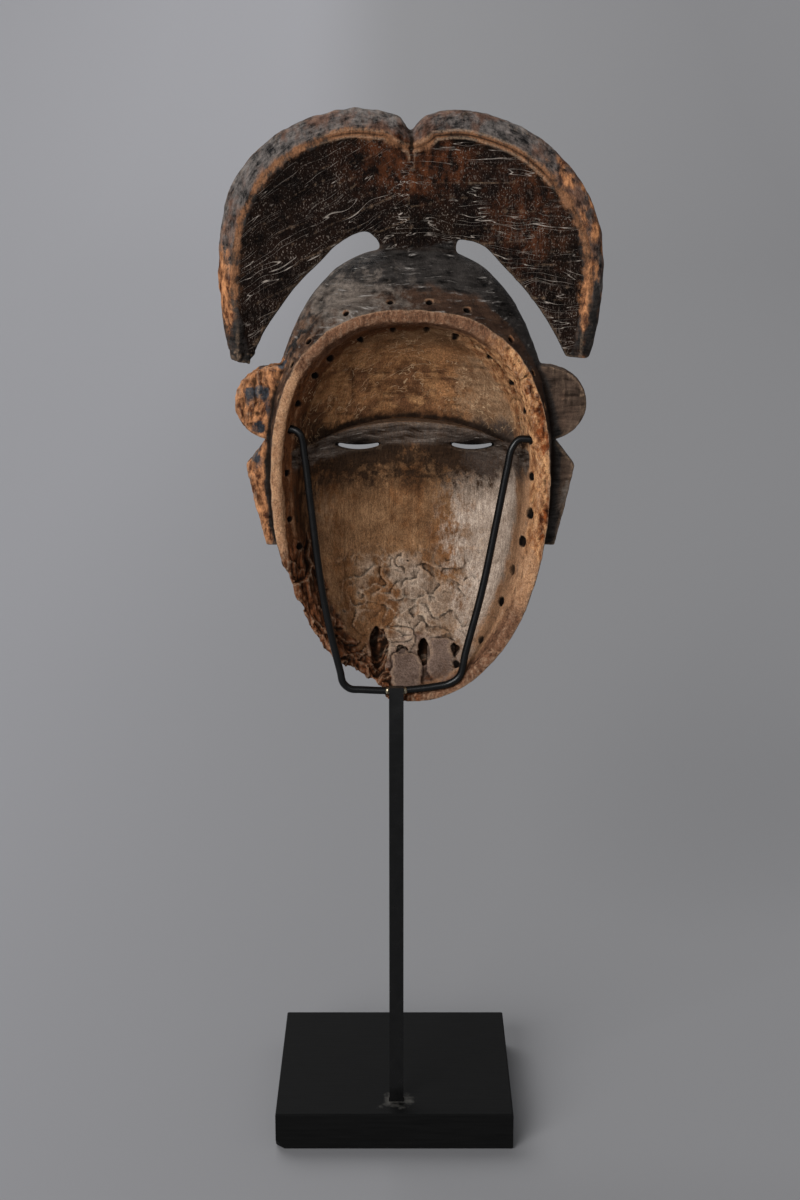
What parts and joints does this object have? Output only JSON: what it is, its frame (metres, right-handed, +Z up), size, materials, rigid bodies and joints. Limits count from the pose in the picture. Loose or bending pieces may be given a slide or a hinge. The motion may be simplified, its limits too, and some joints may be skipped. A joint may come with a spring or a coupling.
{
  "type": "djimini mask",
  "caption": "Hollow carved wooden face mask with a winged crest, held upright by a bent steel rod and post on a square wooden base.",
  "frame": {"origin": "centre of the base's flat underside", "axes": "+Z up, the carved face looks along -Y and the hollow opens along +Y, +X to the wearer's left"},
  "size_m": [0.2168, 0.14, 0.597],
  "materials": {
    "mask_wood": "old carved wood, dark handling patina outside, pale and dry inside the hollow",
    "cradle_steel": "satin black",
    "post_steel": "satin black",
    "base_wood": "matt black stain, faint grain"
  },
  "bodies": {
    "root": {"mask": "mask_wood", "cradle_rod": "cradle_steel", "post": "post_steel", "base": "base_wood"}
  },
  "joints": []
}
